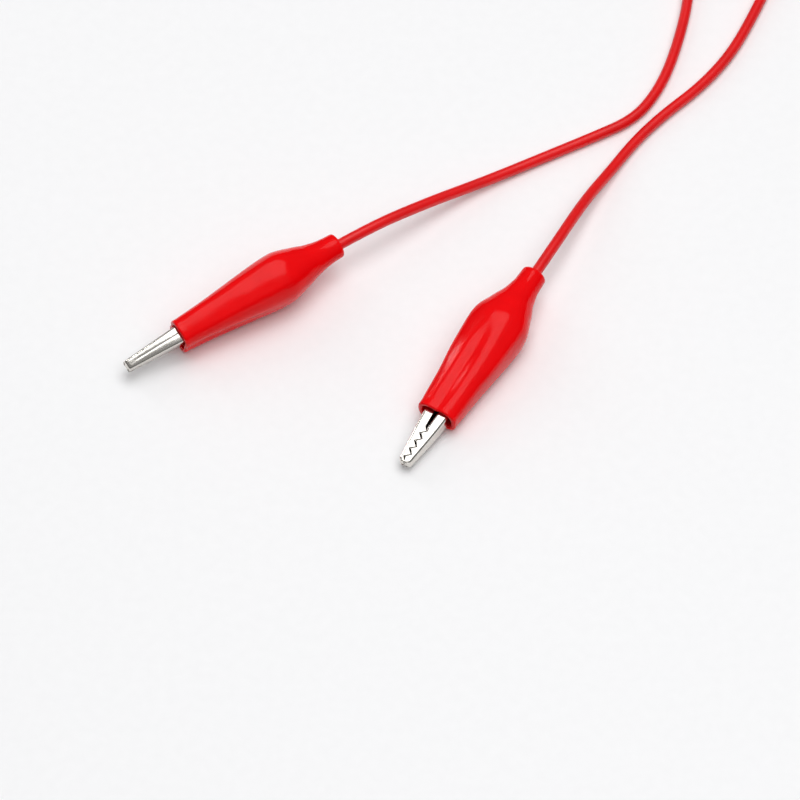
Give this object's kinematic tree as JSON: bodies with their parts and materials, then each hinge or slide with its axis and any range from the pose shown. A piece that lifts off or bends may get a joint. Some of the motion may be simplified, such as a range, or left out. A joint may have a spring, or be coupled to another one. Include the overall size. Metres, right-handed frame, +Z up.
{
  "type": "alligator clip lead",
  "caption": "Electronics test lead: a thin red insulated wire, part of it coiled and tied, with a sprung toothed alligator clip in a soft boot on each end.",
  "frame": {"origin": "middle of the box round the two booted clips, on the surface that they lie on", "axes": "+Z up from that surface; +X along the longer side of the box round the clips; the wires run off towards +Y, where the coil lies"},
  "size_m": [0.1264, 0.1387, 0.0114],
  "materials": {
    "nickel_plated_sheet": "bright nickel plate over pressed steel sheet",
    "rivet_steel": "plated, domed by the riveting tool",
    "spring_steel": "drawn spring wire",
    "tinned_copper": "bare twisted strands",
    "solder": "smooth bright solder",
    "red_soft_pvc": "dip-moulded soft PVC, glossy",
    "red_wire_pvc": "extruded PVC insulation, satin gloss",
    "black_tie_nylon": "moulded nylon"
  },
  "bodies": {
    "lead": {"front_tail_jaw": "nickel_plated_sheet", "front_pivot_rivet": "rivet_steel", "front_torsion_spring": "spring_steel", "front_bare_conductor": "tinned_copper", "front_solder_joint": "solder", "front_boot": "red_soft_pvc", "left_tail_jaw": "nickel_plated_sheet", "left_pivot_rivet": "rivet_steel", "left_torsion_spring": "spring_steel", "left_bare_conductor": "tinned_copper", "left_solder_joint": "solder", "left_boot": "red_soft_pvc", "front_wire": "red_wire_pvc", "left_wire": "red_wire_pvc", "wire_coil": "red_wire_pvc", "coil_tie": "black_tie_nylon"},
    "front_jaw": {"front_moving_jaw": "nickel_plated_sheet"},
    "left_jaw": {"left_moving_jaw": "nickel_plated_sheet"}
  },
  "joints": [
    {"name": "front_jaw_hinge", "type": "hinge", "parent": "lead", "child": "front_jaw", "pos_m": [0.02143, -0.00781, 0.00375], "axis": [-0.05, -0.0812, 0.9954], "range_deg": [0, 26.5], "stiffness_Nm_per_rad": 0.06, "deforming": ["front_torsion_spring", "front_boot"]},
    {"name": "left_jaw_hinge", "type": "hinge", "parent": "lead", "child": "left_jaw", "pos_m": [-0.02228, 0.0066, 0.0048], "axis": [-0.5379, 0.7709, 0.341], "range_deg": [0, 26.5], "stiffness_Nm_per_rad": 0.06, "deforming": ["left_torsion_spring", "left_boot"]}
  ]
}
